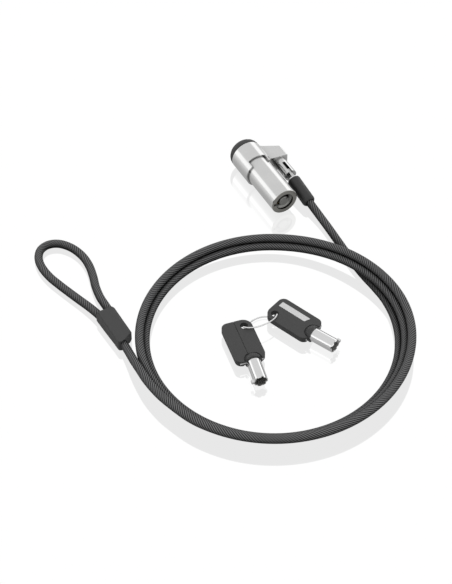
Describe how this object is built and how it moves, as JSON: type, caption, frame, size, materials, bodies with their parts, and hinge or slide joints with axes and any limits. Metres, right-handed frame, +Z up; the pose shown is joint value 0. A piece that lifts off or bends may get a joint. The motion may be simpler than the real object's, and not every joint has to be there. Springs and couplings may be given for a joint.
{
  "type": "laptop cable lock",
  "caption": "Keyed cable lock: swivelling barrel with T-bar nose on a hinged fork, sheathed steel cable wound in a coil with an anchor eye, and tubular keys on a wire ring.",
  "frame": {"origin": "centre of the nose face, on the lock axis", "axes": "+X along the lock axis to the key end, +Y to the lug that carries the cable hinge, +Z up; the set lies on z = -9.1 mm"},
  "size_m": [0.2036, 0.1598, 0.0182],
  "materials": {
    "satin_nickel": "satin nickel plate",
    "polished_steel": "polished plate",
    "lock_works": "turned steel",
    "brass_pins": "turned brass",
    "rubber_nose": "matte moulded rubber",
    "cable_sheath": "smoked vinyl over twisted strands",
    "moulded_black": "satin moulded plastic",
    "key_label": "blank silver foil label"
  },
  "bodies": {
    "cable": {"tongue": "satin_nickel", "boot_rim": "polished_steel", "boot": "moulded_black", "cable_ferrule": "lock_works", "cable_lead": "cable_sheath", "cable_coil": "cable_sheath", "cable_eye": "cable_sheath", "crimp_sleeve": "moulded_black", "crimp_ferrule": "lock_works"},
    "collar": {"collar": "satin_nickel", "fork": "polished_steel", "hinge_pin": "polished_steel"},
    "barrel": {"barrel": "satin_nickel", "nose_plate": "lock_works", "guide_pegs": "lock_works", "nose_bumper": "rubber_nose", "stator": "lock_works", "driver_pins": "brass_pins", "pin_springs": "polished_steel", "stator_pin": "lock_works", "key_guide": "lock_works"},
    "rotor": {"rotor": "lock_works", "key_pins": "brass_pins", "spindle": "lock_works", "spindle_clip": "lock_works", "t_bar": "polished_steel"},
    "key_ring": {"key_ring": "polished_steel"},
    "key_1": {"key_1_tube": "polished_steel", "key_1_bow": "moulded_black"},
    "key_2": {"key_2_tube": "polished_steel", "key_2_bow": "moulded_black", "key_2_label": "key_label"}
  },
  "joints": [
    {"name": "cable_hinge", "type": "hinge", "parent": "cable", "child": "collar", "pos_m": [0.0274, 0.0145, -0.002], "axis": [0, 1, 0], "range_deg": [-90, 90]},
    {"name": "barrel_swivel", "type": "hinge", "parent": "collar", "child": "barrel", "pos_m": [0.03, 0, 0], "axis": [1, 0, 0], "continuous": true},
    {"name": "key_turn", "type": "hinge", "parent": "barrel", "child": "rotor", "pos_m": [0.036, 0, 0], "axis": [1, 0, 0], "range_deg": [0, 90]},
    {"name": "keys_lift", "type": "slide", "parent": "cable", "child": "key_ring", "axis": [0, 0, 1], "range_m": [0, 0.15]},
    {"name": "key_1_swing", "type": "hinge", "parent": "key_ring", "child": "key_1", "pos_m": [0.11429, -0.06317, -0.0045], "axis": [0, 0, 1], "range_deg": [-70, 6]},
    {"name": "key_2_swing", "type": "hinge", "parent": "key_ring", "child": "key_2", "pos_m": [0.11482, -0.0449, -0.0045], "axis": [0, 0, 1], "range_deg": [-6, 70]}
  ]
}
